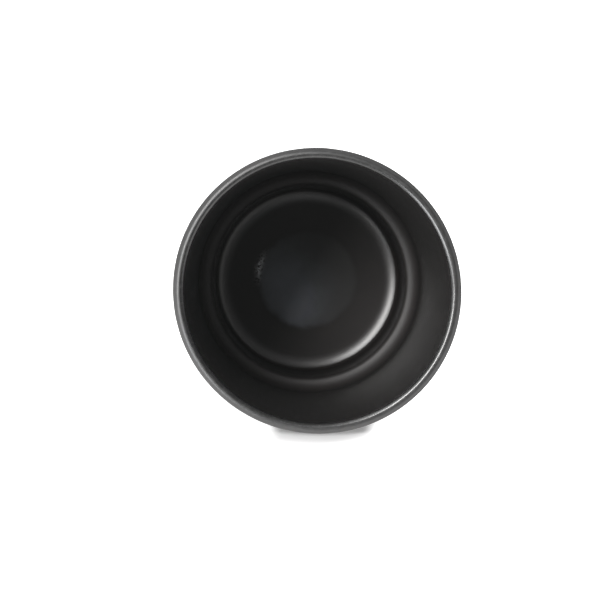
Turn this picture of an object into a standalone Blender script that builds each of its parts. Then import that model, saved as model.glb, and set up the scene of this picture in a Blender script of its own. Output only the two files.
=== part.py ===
"""A handleless mug of dark stoneware under a satin glaze, turned about its upright axis.

Units are metres and +Z is up. The origin is the middle of the foot ring's face, so the mug stands
on z = 0. The clay body carries four coats of glaze: one lines the inside, one wraps the lip, one
covers the outside down to the glaze line, and one fills the recess under the floor. The foot ring
between the last two is left bare, because glaze there would fuse the mug to the kiln shelf.

Every surface is drawn as it is when finished, as corners in (radius, height) with the clay on the
right-hand side of the way they run: along the floor, up the inside, over the lip, down the outside
and under the foot to the axis. A coat is that surface and a copy of it set back into the clay by
the thickness of the glaze, and the clay body is the surface set back by the coat and its seat.
"""

import math
from typing import NamedTuple

import bmesh
import bpy
from mathutils import Matrix, Vector

# Overall
HEIGHT = 0.0900
RIM_RADIUS = 0.0425

# Glaze: its thickness, its seat on the clay, and where the coats meet
GLAZE = 0.0004
SEAT_GAP = 0.0003
LINING_STOP = 0.0008
LIP_COAT_SKIRT = 0.0028
GLAZE_LINE = 0.0026

# Lip: a slope down to the mouth and a slope down to the rim, with a round crown between
LIP_WIDTH = 0.00315
CROWN_INSET = 0.00185
CROWN_ROUND = 0.0013
MOUTH_SLOPE = math.radians(39.0)
MOUTH_EDGE_ROUND = 0.0008
RIM_SLOPE = math.radians(44.0)
RIM_ROUND = 0.0006

# Inside: a raised pad, a dished floor that kicks up at its edge, a riser, a ledge and the tall wall
FLOOR_HEIGHT = 0.0068
PAD_RADIUS = 0.0159
PAD_RISE = 0.0003
PAD_EDGE = 0.0004
DISH_RISE = 0.0005
KICK_WIDTH = 0.0028
KICK_RISE = 0.00125
KICK_ROUND = 0.0110
FLOOR_ROUND = 0.0021
LEDGE_HEIGHT = 0.0203
LEDGE_WIDTH = 0.0043
LEDGE_RISE = 0.00216
LEDGE_ROUND = 0.0019
LEDGE_HOLLOW = 0.0054
RISER_LEAN = math.radians(7.0)
WALL_LEAN = math.radians(3.2)

# Outside: it follows the inside, at the walls' own thicknesses
BASE_WALL = 0.0034
BODY_WALL = 0.0037
SHOULDER_DROP = 0.0012
SHOULDER_SLANT = 0.0040
SHOULDER_ROUND = 0.0036
WAIST_ROUND = 0.0030

# Foot: the bare ring and the recess inside it
FOOT_WIDTH = 0.0042
FOOT_ROUND = 0.0012
RECESS_DEPTH = 0.0020
RECESS_SLANT = 0.0012
RECESS_ROUND = 0.0016

# Mesh fineness
SEGMENTS = 48
ARC_STEP = math.radians(22.0)
SHARP_EDGE = math.radians(40.0)
AXIS_WELD = 1e-6

# The clay lies this far under the finished surface.
SKIN = GLAZE + SEAT_GAP


class Corner(NamedTuple):
    """A corner of a turned outline, and the radius that it is rounded to."""

    radius: float
    height: float
    round: float = 0.0


def spot(corner):
    """The corner as a point of the outline's plane."""
    return Vector((corner.radius, corner.height))


def inner_wall_radius(height):
    """The radius of the tall inner wall at a height."""
    mouth = mouth_edge()
    return mouth.radius - (mouth.height - height) * math.tan(WALL_LEAN)


def riser_radius(height):
    """The radius of the riser's line at a height, also where it runs on below the floor."""
    top = riser_top()
    return top.radius - (top.height - height) * math.tan(RISER_LEAN)


def crown():
    """Where the lip's two slopes would meet. The round over it has its top at the full height."""
    centre = Vector((RIM_RADIUS - CROWN_INSET, HEIGHT - CROWN_ROUND))
    over_mouth = Vector((-math.sin(MOUTH_SLOPE), math.cos(MOUTH_SLOPE)))
    over_rim = Vector((math.sin(RIM_SLOPE), math.cos(RIM_SLOPE)))
    reach = CROWN_ROUND / (1.0 + over_mouth.dot(over_rim))
    point = centre + (over_mouth + over_rim) * reach
    return Corner(point.x, point.y, CROWN_ROUND)


def mouth_edge():
    """The edge where the inner wall meets the lip's slope."""
    radius = RIM_RADIUS - LIP_WIDTH
    drop = (crown().radius - radius) * math.tan(MOUTH_SLOPE)
    return Corner(radius, crown().height - drop, MOUTH_EDGE_ROUND)


def rim_corner():
    """The corner where the lip's outer slope meets the outside."""
    drop = (RIM_RADIUS - crown().radius) * math.tan(RIM_SLOPE)
    return Corner(RIM_RADIUS, crown().height - drop, RIM_ROUND)


def wall_foot():
    """The hollow where the ledge turns up into the inner wall."""
    height = LEDGE_HEIGHT + LEDGE_RISE
    return Corner(inner_wall_radius(height), height, LEDGE_HOLLOW)


def riser_top():
    """The ledge's inner edge, at the top of the riser."""
    return Corner(wall_foot().radius - LEDGE_WIDTH, LEDGE_HEIGHT, LEDGE_ROUND)


def inside():
    """The inside, from the middle of the floor to the mouth's edge, which isn't in it."""
    kick = FLOOR_HEIGHT + DISH_RISE
    edge = riser_radius(kick + KICK_RISE)
    return [
        Corner(0.0, FLOOR_HEIGHT + PAD_RISE),
        Corner(PAD_RADIUS, FLOOR_HEIGHT + PAD_RISE),
        Corner(PAD_RADIUS + PAD_EDGE, FLOOR_HEIGHT),
        Corner(edge - KICK_WIDTH, kick, KICK_ROUND),
        Corner(edge, kick + KICK_RISE, FLOOR_ROUND),
        riser_top(),
        wall_foot(),
    ]


def lip():
    """The lip, from the mouth's edge to the rim's outer corner."""
    return [mouth_edge(), crown(), rim_corner()]


def outside():
    """The outside, from the shoulder down to the foot ring's outer corner."""
    shoulder = Corner(wall_foot().radius + BODY_WALL, LEDGE_HEIGHT - SHOULDER_DROP, SHOULDER_ROUND)
    waist_height = shoulder.height - SHOULDER_SLANT
    waist = Corner(riser_radius(waist_height) + BASE_WALL, waist_height, WAIST_ROUND)
    return [shoulder, waist, foot_corner()]


def foot_corner():
    """The foot ring's outer corner. The bare clay stands on the table, so the finished surface
    that it is set back from lies a skin's depth below."""
    return Corner(riser_radius(-SKIN) + BASE_WALL, -SKIN, FOOT_ROUND)


def underside():
    """The underside, from the foot ring's inner corner to the axis."""
    inner = foot_corner().radius - FOOT_WIDTH
    return [
        Corner(inner, -SKIN, FOOT_ROUND),
        Corner(inner - RECESS_SLANT, RECESS_DEPTH, RECESS_ROUND),
        Corner(0.0, RECESS_DEPTH),
    ]


def step_back(start, end, distance):
    """The point a distance before the end, on the straight line from start to end."""
    line = spot(end) - spot(start)
    point = spot(end) - line.normalized() * distance
    return Corner(point.x, point.y)


def at_height(start, end, height):
    """The point at a height on the straight line from start to end."""
    share = (height - start.height) / (end.height - start.height)
    point = spot(start).lerp(spot(end), share)
    return Corner(point.x, point.y)


def set_back(corners, depth):
    """The outline moved into the clay by a depth. Outer rounds tighten by it, and hollows widen."""
    points = [spot(corner) for corner in corners]
    ways = [(b - a).normalized() for a, b in zip(points, points[1:])]
    inward = [Vector((way.y, -way.x)) for way in ways]
    moved = []
    for index, (corner, point) in enumerate(zip(corners, points)):
        before = max(index - 1, 0)
        after = min(index, len(ways) - 1)
        miter = (inward[before] + inward[after]).normalized()
        place = point + miter * (depth / miter.dot(inward[after]))
        turn = ways[before].cross(ways[after])
        change = depth if turn > 0 else -depth
        moved.append(Corner(place.x, place.y, max(corner.round + change, 0.0)))
    return moved


def rounded(corners):
    """The outline as points, each rounded corner an arc no larger than its two sides can hold."""
    points = [spot(corner) for corner in corners]
    sides = [b - a for a, b in zip(points, points[1:])]
    turns = [a.angle(b) for a, b in zip(sides, sides[1:])]
    reach = [corner.round * math.tan(turn / 2) for corner, turn in zip(corners[1:], turns)]
    reach = [0.0, *reach, 0.0]
    room = [side.length / max(a + b, side.length) for side, a, b in zip(sides, reach, reach[1:])]
    outline = [points[0]]
    for index, turn in enumerate(turns, start=1):
        corner = points[index]
        tangent = reach[index] * min(room[index - 1], room[index])
        if not tangent:
            outline.append(corner)
            continue
        way = sides[index - 1].normalized()
        hand = math.copysign(1.0, way.cross(sides[index]))
        radius = tangent / math.tan(turn / 2)
        centre = corner - way * tangent + hand * radius * Vector((-way.y, way.x))
        spoke = corner - way * tangent - centre
        steps = math.ceil(turn / ARC_STEP)
        for step in range(steps + 1):
            swing = Matrix.Rotation(hand * turn * step / steps, 2)
            outline.append(centre + swing @ spoke)
    outline.append(points[-1])
    return outline


def coat(corners):
    """The closed outline of a coat of glaze whose finished face has these corners."""
    return rounded(corners) + rounded(set_back(corners, GLAZE))[::-1]


def finish(name, colour, roughness):
    """A non-metallic material."""
    made = bpy.data.materials.new(name)
    made.use_nodes = True
    shader = made.node_tree.nodes["Principled BSDF"]
    shader.inputs["Base Color"].default_value = (*colour, 1.0)
    shader.inputs["Roughness"].default_value = roughness
    shader.inputs["Metallic"].default_value = 0.0
    return made


def turned(name, outline, material, parent):
    """A solid of revolution about the upright axis. A side that lies on the axis makes no face."""
    shape = bmesh.new()
    ring = [shape.verts.new((point.x, 0.0, point.y)) for point in outline]
    sides = zip(ring, ring[1:] + ring[:1])
    edges = [shape.edges.new(side) for side in sides if max(end.co.x for end in side) > AXIS_WELD]
    bmesh.ops.spin(
        shape,
        geom=ring + edges,
        cent=(0.0, 0.0, 0.0),
        axis=(0.0, 0.0, 1.0),
        angle=math.tau,
        steps=SEGMENTS,
        use_merge=True,
    )
    bmesh.ops.remove_doubles(shape, verts=shape.verts, dist=AXIS_WELD)
    bmesh.ops.recalc_face_normals(shape, faces=shape.faces)
    mesh = bpy.data.meshes.new(name)
    shape.to_mesh(mesh)
    shape.free()
    mesh.shade_smooth()
    mesh.set_sharp_from_angle(angle=SHARP_EDGE)
    mesh.materials.append(material)
    solid = bpy.data.objects.new(name, mesh)
    solid.parent = parent
    bpy.context.scene.collection.objects.link(solid)
    return solid


def clear_scene():
    """Removes the objects that the scene starts with."""
    for old in list(bpy.data.objects):
        bpy.data.objects.remove(old)


def build():
    """Makes the clay body and its four coats of glaze, on one empty."""
    clear_scene()
    mug = bpy.data.objects.new("mug", None)
    bpy.context.scene.collection.objects.link(mug)

    clay = finish("dark_clay", (0.085, 0.072, 0.062), 0.88)
    satin = finish("satin_black_glaze", (0.016, 0.013, 0.012), 0.30)
    grey = finish("grey_lip_glaze", (0.018, 0.016, 0.015), 0.34)

    mouth, rim = mouth_edge(), rim_corner()
    shoulder, waist, foot = outside()
    half_gap = SEAT_GAP / 2

    whole = inside() + lip() + outside() + underside()
    turned("clay_body", rounded(set_back(whole, SKIN)), clay, mug)

    lining_end = step_back(wall_foot(), mouth, LINING_STOP + half_gap)
    turned("inner_glaze", coat([*inside(), lining_end]), satin, mug)

    lip_start = step_back(wall_foot(), mouth, LINING_STOP - half_gap)
    lip_end = at_height(rim, shoulder, HEIGHT - LIP_COAT_SKIRT + half_gap)
    turned("lip_glaze", coat([lip_start, *lip(), lip_end]), grey, mug)

    coat_start = at_height(rim, shoulder, HEIGHT - LIP_COAT_SKIRT - half_gap)
    coat_end = at_height(waist, foot, GLAZE_LINE)
    turned("outer_glaze", coat([coat_start, shoulder, waist, coat_end]), satin, mug)

    foot_inner, recess_corner, recess_middle = underside()
    recess_start = at_height(foot_inner, recess_corner, RECESS_DEPTH / 2)
    turned("base_glaze", coat([recess_start, recess_corner, recess_middle]), satin, mug)


build()
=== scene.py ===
"""The looks of a handleless stoneware mug: satin black glaze, a grey lip and a bare foot.

Everything is in metres with +Z up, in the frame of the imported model. The mug stands on z = 0 and is
turned about the upright axis. Its outline is drawn again here from the same sizes as the solids,
but finer, and every coat of glaze lies right on the clay and runs on into the next one, as fired
glaze does. Geometry Nodes turn the outlines and lay the grit on the foot; the finishes are node
materials that read Object coordinates and what the turning tree stored on the mesh.
"""

import logging
import math
from collections.abc import Mapping, Sequence
from dataclasses import dataclass, fields, replace
from enum import Enum
from typing import NamedTuple, Optional, Union

import bpy
from mathutils import Matrix, Vector


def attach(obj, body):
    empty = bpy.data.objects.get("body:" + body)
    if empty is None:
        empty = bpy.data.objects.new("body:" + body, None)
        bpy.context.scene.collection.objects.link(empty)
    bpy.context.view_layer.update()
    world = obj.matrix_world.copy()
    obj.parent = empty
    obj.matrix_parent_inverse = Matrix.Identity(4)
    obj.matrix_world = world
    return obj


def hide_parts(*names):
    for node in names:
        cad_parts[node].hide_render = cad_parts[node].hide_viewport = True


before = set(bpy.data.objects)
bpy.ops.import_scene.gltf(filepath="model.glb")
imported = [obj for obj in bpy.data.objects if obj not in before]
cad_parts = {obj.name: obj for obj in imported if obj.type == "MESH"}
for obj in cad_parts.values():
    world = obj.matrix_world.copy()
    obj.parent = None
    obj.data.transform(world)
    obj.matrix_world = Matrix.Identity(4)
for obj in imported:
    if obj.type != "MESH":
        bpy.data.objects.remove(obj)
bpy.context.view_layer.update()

LOG = logging.getLogger("mug")
BODY = "root"
MILLIMETRE = 0.001
WELD = 1e-6
SHORTEST_SIDE = 1e-7

# The sides of a coat's hidden back are this many times as long as its face's.
HIDDEN_COARSER = 4

# A step is the two values between which a soft step runs.
Step = tuple[float, float]
Colour = tuple[float, float, float]
WHITE: Colour = (1.0, 1.0, 1.0)


class Slot(Enum):
    """The record's material slots. Each piece names one."""

    BARE_CLAY = "bare_clay"
    SATIN_GLAZE = "satin_glaze"
    LIP_GLAZE = "lip_glaze"


# Node trees


class Signal:
    """A node's output, with arithmetic that adds the node for it."""

    def __init__(self, wiring: "Wiring", socket: bpy.types.NodeSocket) -> None:
        """Keeps the socket and the tree that it belongs to.

        Args:
            wiring: the tree that further nodes go into.
            socket: the output.
        """
        self.wiring = wiring
        self.socket = socket

    def __add__(self, other: "Feed") -> "Signal":
        """The sum."""
        return self.wiring.math("ADD", self, other)

    def __sub__(self, other: "Feed") -> "Signal":
        """The difference."""
        return self.wiring.math("SUBTRACT", self, other)

    def __rsub__(self, other: "Feed") -> "Signal":
        """The difference, from a plain number."""
        return self.wiring.math("SUBTRACT", other, self)

    def __mul__(self, other: "Feed") -> "Signal":
        """The product."""
        return self.wiring.math("MULTIPLY", self, other)

    def __truediv__(self, other: "Feed") -> "Signal":
        """The quotient."""
        return self.wiring.math("DIVIDE", self, other)

    __radd__ = __add__
    __rmul__ = __mul__


Feed = Union[Signal, float, int, str, tuple, bpy.types.ID]


class Wiring:
    """Adds nodes to one tree and joins them, so that a rule reads as one line for each step."""

    def __init__(self, tree: bpy.types.NodeTree) -> None:
        """Keeps the tree.

        Args:
            tree: a geometry or shader tree, or the tree of a material or world.
        """
        self.tree = tree
        self.givens: Optional[bpy.types.Node] = None

    def add(
        self, kind: str, feeds: Optional[Mapping[str, Feed]] = None, **settings: object
    ) -> bpy.types.Node:
        """Adds a node.

        Args:
            kind: Blender's name for the type of node.
            feeds: what goes into its inputs, by the input's name.
            settings: its properties, such as an operation or a data type.

        Returns:
            The node.
        """
        node = self.tree.nodes.new(kind)
        for name, value in settings.items():
            setattr(node, name, value)
        for name, value in (feeds or {}).items():
            self.feed(self.pick(node.inputs, name), value)
        return node

    def feed(self, socket: bpy.types.NodeSocket, value: Feed) -> None:
        """Links a signal to an input, or sets the input to a plain value.

        Args:
            socket: the input.
            value: a signal, number, text, tuple or data-block.
        """
        if isinstance(value, Signal):
            self.tree.links.new(value.socket, socket)
        else:
            socket.default_value = value

    @staticmethod
    def pick(sockets: Sequence[bpy.types.NodeSocket], name: str) -> bpy.types.NodeSocket:
        """The socket in use that has a name, among those that share it."""
        return next(socket for socket in sockets if socket.name == name and socket.enabled)

    def out(self, node: bpy.types.Node, name: str) -> Signal:
        """One of a node's outputs as a signal."""
        return Signal(self, self.pick(node.outputs, name))

    def given(self, name: str) -> Signal:
        """One of the tree's own inputs as a signal.

        Args:
            name: the input's name.

        Returns:
            What the tree is given there.
        """
        if self.givens is None:
            self.givens = self.tree.nodes.new("NodeGroupInput")
        return Signal(self, self.givens.outputs[name])

    def math(self, operation: str, first: Feed, second: Feed = 0.0, third: Feed = 0.0) -> Signal:
        """Adds a Math node.

        Args:
            operation: Blender's name for the operation.
            first: the first value.
            second: the second value, where the operation has one.
            third: the third value, where the operation has one.

        Returns:
            The result.
        """
        node = self.add("ShaderNodeMath", operation=operation)
        for socket, value in zip(node.inputs, (first, second, third)):
            self.feed(socket, value)
        return Signal(self, node.outputs[0])

    def vector_math(self, operation: str, *values: Feed, output: str = "Vector") -> Signal:
        """Adds a Vector Math node.

        Args:
            operation: Blender's name for the operation.
            values: its inputs in order. A scale comes last.
            output: "Vector", or "Value" for a length, distance or dot product.

        Returns:
            The result.
        """
        node = self.add("ShaderNodeVectorMath", operation=operation)
        sockets = [socket for socket in node.inputs if socket.enabled]
        for socket, value in zip(sockets, values):
            self.feed(socket, value)
        return self.out(node, output)

    def join(self, x: Feed, y: Feed, z: Feed) -> Signal:
        """A vector from three numbers."""
        return self.out(self.add("ShaderNodeCombineXYZ", {"X": x, "Y": y, "Z": z}), "Vector")

    def split(self, vector: Feed) -> tuple[Signal, Signal, Signal]:
        """The three numbers of a vector."""
        node = self.add("ShaderNodeSeparateXYZ", {"Vector": vector})
        return self.out(node, "X"), self.out(node, "Y"), self.out(node, "Z")

    def noise(self, vector: Feed, scale: Feed, detail: float = 2.0, rough: float = 0.5) -> Signal:
        """Smooth noise.

        Args:
            vector: where it is read.
            scale: how many blots there are to the unit of the vector.
            detail: how many finer layers are added.
            rough: how strong each finer layer is.

        Returns:
            The noise, from about 0.2 to 0.8 with 0.5 in the middle.
        """
        feeds = {"Vector": vector, "Scale": scale, "Detail": detail, "Roughness": rough}
        return self.out(self.add("ShaderNodeTexNoise", feeds), "Fac")

    def ramp(
        self, value: Feed, low: Feed, high: Feed, start: Feed = 0.0, end: Feed = 1.0
    ) -> Signal:
        """A soft step.

        Args:
            value: what is compared.
            low: the value at which the step starts.
            high: the value at which it ends.
            start: the result at and before the step's start.
            end: the result at and after its end.

        Returns:
            The stepped value.
        """
        names = ("Value", "From Min", "From Max", "To Min", "To Max")
        feeds = dict(zip(names, (value, low, high, start, end)))
        node = self.add("ShaderNodeMapRange", feeds, interpolation_type="SMOOTHSTEP")
        return self.out(node, "Result")

    def fall(self, value: Feed, low: Feed, high: Feed) -> Signal:
        """A soft step down, from 1 at the low value to 0 at the high one."""
        return self.ramp(value, low, high, 1.0, 0.0)

    def blend(self, mask: Feed, first: Feed, second: Feed) -> Signal:
        """A colour that goes from the first to the second as the mask goes from 0 to 1."""
        feeds = {"Factor": mask, "A": opaque(first), "B": opaque(second)}
        return self.out(self.add("ShaderNodeMix", feeds, data_type="RGBA"), "Result")

    def hill(self, distance: Feed, width: Feed) -> Signal:
        """A smooth hill that is 1 at distance 0 and falls to a third at the width."""
        share = self.math("POWER", self.math("ABSOLUTE", distance) / width, 2.0)
        return self.math("EXPONENT", share * -1.0)

    def length(self, x: Feed, y: Feed, z: Feed = 0.0) -> Signal:
        """The length of the vector from three numbers."""
        return self.vector_math("LENGTH", self.join(x, y, z), output="Value")

    def coordinates(self, kind: str) -> Signal:
        """Texture coordinates, such as "Object" or "Generated"."""
        return self.out(self.add("ShaderNodeTexCoord"), kind)

    def sight(self) -> tuple[Signal, Signal]:
        """Where the camera sees a thing straight, and where it sees it in gloss or glass.

        Returns:
            The two masks.
        """
        path = self.add("ShaderNodeLightPath")
        gloss, glass = self.out(path, "Is Glossy Ray"), self.out(path, "Is Transmission Ray")
        return self.out(path, "Is Camera Ray"), self.math("MAXIMUM", gloss, glass)


def opaque(colour: Feed) -> Feed:
    """A plain colour with its alpha; a signal as it is."""
    return (*colour, 1.0) if isinstance(colour, tuple) and len(colour) == 3 else colour


SOCKETS = {
    "geometry": "NodeSocketGeometry",
    "number": "NodeSocketFloat",
    "count": "NodeSocketInt",
    "vector": "NodeSocketVector",
    "colour": "NodeSocketColor",
    "material": "NodeSocketMaterial",
}


def new_tree(name: str, kind: str, inputs: Mapping[str, str], outputs: Mapping[str, str]) -> Wiring:
    """Makes a node group with named sockets.

    Args:
        name: the group's name.
        kind: "GeometryNodeTree" or "ShaderNodeTree".
        inputs: the names of its inputs, each with a kind from SOCKETS.
        outputs: the same for its outputs.

    Returns:
        The wiring of the empty tree.
    """
    tree = bpy.data.node_groups.new(name, kind)
    for way, sockets in (("INPUT", inputs), ("OUTPUT", outputs)):
        for label, socket in sockets.items():
            tree.interface.new_socket(name=label, in_out=way, socket_type=SOCKETS[socket])
    return Wiring(tree)


def close_tree(wiring: Wiring, results: Mapping[str, Feed]) -> bpy.types.NodeTree:
    """Feeds a node group's outputs.

    Args:
        wiring: the tree.
        results: what each output gives, by its name.

    Returns:
        The finished group.
    """
    wiring.add("NodeGroupOutput", results)
    return wiring.tree


# The mug's outline


class Corner(NamedTuple):
    """A corner of a turned outline, and the radius that it is rounded to."""

    radius: float
    height: float
    round: float = 0.0

    @property
    def place(self) -> Vector:
        """The corner as a point of the outline's plane."""
        return Vector((self.radius, self.height))


@dataclass(frozen=True)
class MugShape:
    """The sizes of the mug, and its finished surface as corners. The corners run along the floor,
    up the inside, over the lip, down the outside and under the foot to the axis, with the clay on
    the right-hand side of the way."""

    height: float = 0.0900
    rim_radius: float = 0.0425
    coat: float = 0.0007
    lining_stop: float = 0.0008
    lip_skirt: float = 0.0028
    glaze_line: float = 0.0026

    lip_width: float = 0.00315
    crown_inset: float = 0.00185
    crown_round: float = 0.0013
    mouth_slope: float = math.radians(39.0)
    mouth_edge_round: float = 0.0008
    rim_slope: float = math.radians(44.0)
    rim_round: float = 0.0006

    floor_height: float = 0.0068
    pad_radius: float = 0.0159
    pad_rise: float = 0.0003
    pad_edge: float = 0.0004
    pad_flat: float = 0.45
    pad_round: float = 0.180
    pad_edge_round: float = 0.020
    dish_rise: float = 0.0005
    kick_width: float = 0.0028
    kick_rise: float = 0.00125
    kick_round: float = 0.0110
    floor_round: float = 0.0021
    ledge_height: float = 0.0203
    ledge_width: float = 0.0043
    ledge_rise: float = 0.00216
    ledge_round: float = 0.0019
    ledge_hollow: float = 0.0054
    riser_lean: float = math.radians(7.0)
    wall_lean: float = math.radians(3.2)

    base_wall: float = 0.0034
    body_wall: float = 0.0037
    shoulder_drop: float = 0.0012
    shoulder_slant: float = 0.0040
    shoulder_round: float = 0.0036
    waist_round: float = 0.0030

    foot_width: float = 0.0042
    foot_round: float = 0.0012
    recess_depth: float = 0.0020
    recess_slant: float = 0.0012
    recess_round: float = 0.0016

    def crown(self) -> Corner:
        """Where the lip's two slopes would meet. The round over it tops out at the full height.

        Returns:
            The corner.
        """
        centre = Vector((self.rim_radius - self.crown_inset, self.height - self.crown_round))
        over_mouth = Vector((-math.sin(self.mouth_slope), math.cos(self.mouth_slope)))
        over_rim = Vector((math.sin(self.rim_slope), math.cos(self.rim_slope)))
        reach = self.crown_round / (1.0 + over_mouth.dot(over_rim))
        point = centre + (over_mouth + over_rim) * reach
        return Corner(point.x, point.y, self.crown_round)

    def mouth_edge(self) -> Corner:
        """The edge where the inner wall meets the lip's slope.

        Returns:
            The corner.
        """
        radius = self.rim_radius - self.lip_width
        drop = (self.crown().radius - radius) * math.tan(self.mouth_slope)
        return Corner(radius, self.crown().height - drop, self.mouth_edge_round)

    def rim_corner(self) -> Corner:
        """The corner where the lip's outer slope meets the outside."""
        drop = (self.rim_radius - self.crown().radius) * math.tan(self.rim_slope)
        return Corner(self.rim_radius, self.crown().height - drop, self.rim_round)

    def wall_foot(self) -> Corner:
        """The hollow where the ledge turns up into the inner wall.

        Returns:
            The corner.
        """
        mouth = self.mouth_edge()
        height = self.ledge_height + self.ledge_rise
        radius = mouth.radius - (mouth.height - height) * math.tan(self.wall_lean)
        return Corner(radius, height, self.ledge_hollow)

    def riser_top(self) -> Corner:
        """The ledge's inner edge, at the top of the riser."""
        radius = self.wall_foot().radius - self.ledge_width
        return Corner(radius, self.ledge_height, self.ledge_round)

    def riser_radius(self, height: float) -> float:
        """The radius of the riser's line at a height, also where it runs on below the floor."""
        top = self.riser_top()
        return top.radius - (top.height - height) * math.tan(self.riser_lean)

    def inside(self) -> list[Corner]:
        """The inside, from the middle of the floor to the foot of the tall wall.

        Returns:
            The corners in order.
        """
        pad = self.floor_height + self.pad_rise
        kick = self.floor_height + self.dish_rise
        edge = self.riser_radius(kick + self.kick_rise)
        return [
            Corner(0.0, pad),
            Corner(self.pad_radius * self.pad_flat, pad, self.pad_round),
            Corner(self.pad_radius + self.pad_edge, self.floor_height, self.pad_edge_round),
            Corner(edge - self.kick_width, kick, self.kick_round),
            Corner(edge, kick + self.kick_rise, self.floor_round),
            self.riser_top(),
            self.wall_foot(),
        ]

    def lining_end(self) -> Corner:
        """Where the lining ends and the lip's coat starts, just below the mouth's edge."""
        return step_back(self.wall_foot(), self.mouth_edge(), self.lining_stop)

    def lip(self) -> list[Corner]:
        """The lip, from the mouth's edge to the rim's outer corner."""
        return [self.mouth_edge(), self.crown(), self.rim_corner()]

    def outside(self) -> list[Corner]:
        """The outside, from the shoulder down to the foot ring's outer corner.

        Returns:
            The corners in order.
        """
        height = self.ledge_height - self.shoulder_drop
        shoulder = Corner(self.wall_foot().radius + self.body_wall, height, self.shoulder_round)
        waist_height = height - self.shoulder_slant
        waist_radius = self.riser_radius(waist_height) + self.base_wall
        return [shoulder, Corner(waist_radius, waist_height, self.waist_round), self.foot_corner()]

    def skirt_end(self) -> Corner:
        """Where the lip's coat ends and the outer one starts, just below the rim."""
        return at_height(self.rim_corner(), self.outside()[0], self.height - self.lip_skirt)

    def foot_corner(self) -> Corner:
        """The foot ring's outer corner, a coat's depth below the clay that stands on the table."""
        radius = self.riser_radius(-self.coat) + self.base_wall
        return Corner(radius, -self.coat, self.foot_round)

    def underside(self) -> list[Corner]:
        """The underside, from the foot ring's inner corner to the axis.

        Returns:
            The corners in order.
        """
        inner = self.foot_corner().radius - self.foot_width
        return [
            Corner(inner, -self.coat, self.foot_round),
            Corner(inner - self.recess_slant, self.recess_depth, self.recess_round),
            Corner(0.0, self.recess_depth),
        ]


@dataclass(frozen=True)
class Spot:
    """A point of an outline, with what the turning tree reads there."""

    place: Vector
    bend: float = 0.0
    skin: float = 1.0
    slip: Vector = Vector((0.0, 0.0))


def step_back(start: Corner, end: Corner, distance: float) -> Corner:
    """The point a distance before the end, on the straight line from start to end."""
    point = end.place - (end.place - start.place).normalized() * distance
    return Corner(point.x, point.y)


def at_height(start: Corner, end: Corner, height: float) -> Corner:
    """The point at a height, on the straight line from start to end.

    Args:
        start: the line's start.
        end: its end.
        height: the height.

    Returns:
        The point, as a sharp corner.
    """
    share = (height - start.height) / (end.height - start.height)
    point = start.place.lerp(end.place, share)
    return Corner(point.x, point.y)


def set_back(corners: Sequence[Corner], depth: float) -> list[Corner]:
    """Moves an outline into the clay. Outer rounds tighten by the depth, and hollows widen.

    Args:
        corners: the outline.
        depth: how far it moves.

    Returns:
        The moved outline.
    """
    points = [corner.place for corner in corners]
    ways = [(b - a).normalized() for a, b in zip(points, points[1:])]
    inward = [Vector((way.y, -way.x)) for way in ways]
    moved = []
    for index, (corner, point) in enumerate(zip(corners, points)):
        before = max(index - 1, 0)
        after = min(index, len(ways) - 1)
        miter = (inward[before] + inward[after]).normalized()
        place = point + miter * (depth / miter.dot(inward[after]))
        change = depth if ways[before].cross(ways[after]) > 0 else -depth
        moved.append(Corner(place.x, place.y, max(corner.round + change, 0.0)))
    return moved


def traced(corners: Sequence[Corner], longest: float, skin: float = 1.0) -> list[Spot]:
    """Draws an outline as close points. Each rounded corner is an arc no larger than its two sides
    can hold, and straight runs are cut up so that noise can move them.

    Args:
        corners: the outline.
        longest: the longest side that is left.
        skin: 1 on a face that shows, 0 on one that lies on the clay.

    Returns:
        The points in order. Each knows how sharply the outline turns there, in 1/m, which is over
        0 on an outer edge and under 0 in a hollow.
    """
    arc_step = math.radians(7.0)
    points = [corner.place for corner in corners]
    sides = [b - a for a, b in zip(points, points[1:])]
    turns = [a.angle(b, 0.0) for a, b in zip(sides, sides[1:])]
    reach = [corner.round * math.tan(turn / 2) for corner, turn in zip(corners[1:], turns)]
    reach = [0.0, *reach, 0.0]
    room = [side.length / max(a + b, side.length) for side, a, b in zip(sides, reach, reach[1:])]
    spots = [Spot(points[0], skin=skin)]

    def run_to(end: Vector) -> None:
        """Adds the points of a straight run, its end among them.

        Args:
            end: the end.
        """
        start = spots[-1].place
        count = max(math.ceil((end - start).length / longest), 1)
        for step in range(1, count + 1):
            spots.append(Spot(start.lerp(end, step / count), skin=skin))

    for index, turn in enumerate(turns, start=1):
        tangent = reach[index] * min(room[index - 1], room[index])
        way = sides[index - 1].normalized()
        run_to(points[index] - way * tangent)
        if tangent:
            hand = math.copysign(1.0, way.cross(sides[index]))
            radius = tangent / math.tan(turn / 2)
            centre = spots[-1].place + hand * radius * Vector((-way.y, way.x))
            spoke = spots[-1].place - centre
            steps = max(math.ceil(turn / arc_step), math.ceil(radius * turn / longest))
            for step in range(steps + 1):
                swing = Matrix.Rotation(hand * turn * step / steps, 2)
                spots.append(Spot(centre + swing @ spoke, -hand / radius, skin))
    run_to(points[-1])
    apart = [b for a, b in zip(spots, spots[1:]) if (b.place - a.place).length > SHORTEST_SIDE]
    return [spots[0], *apart]


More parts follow.
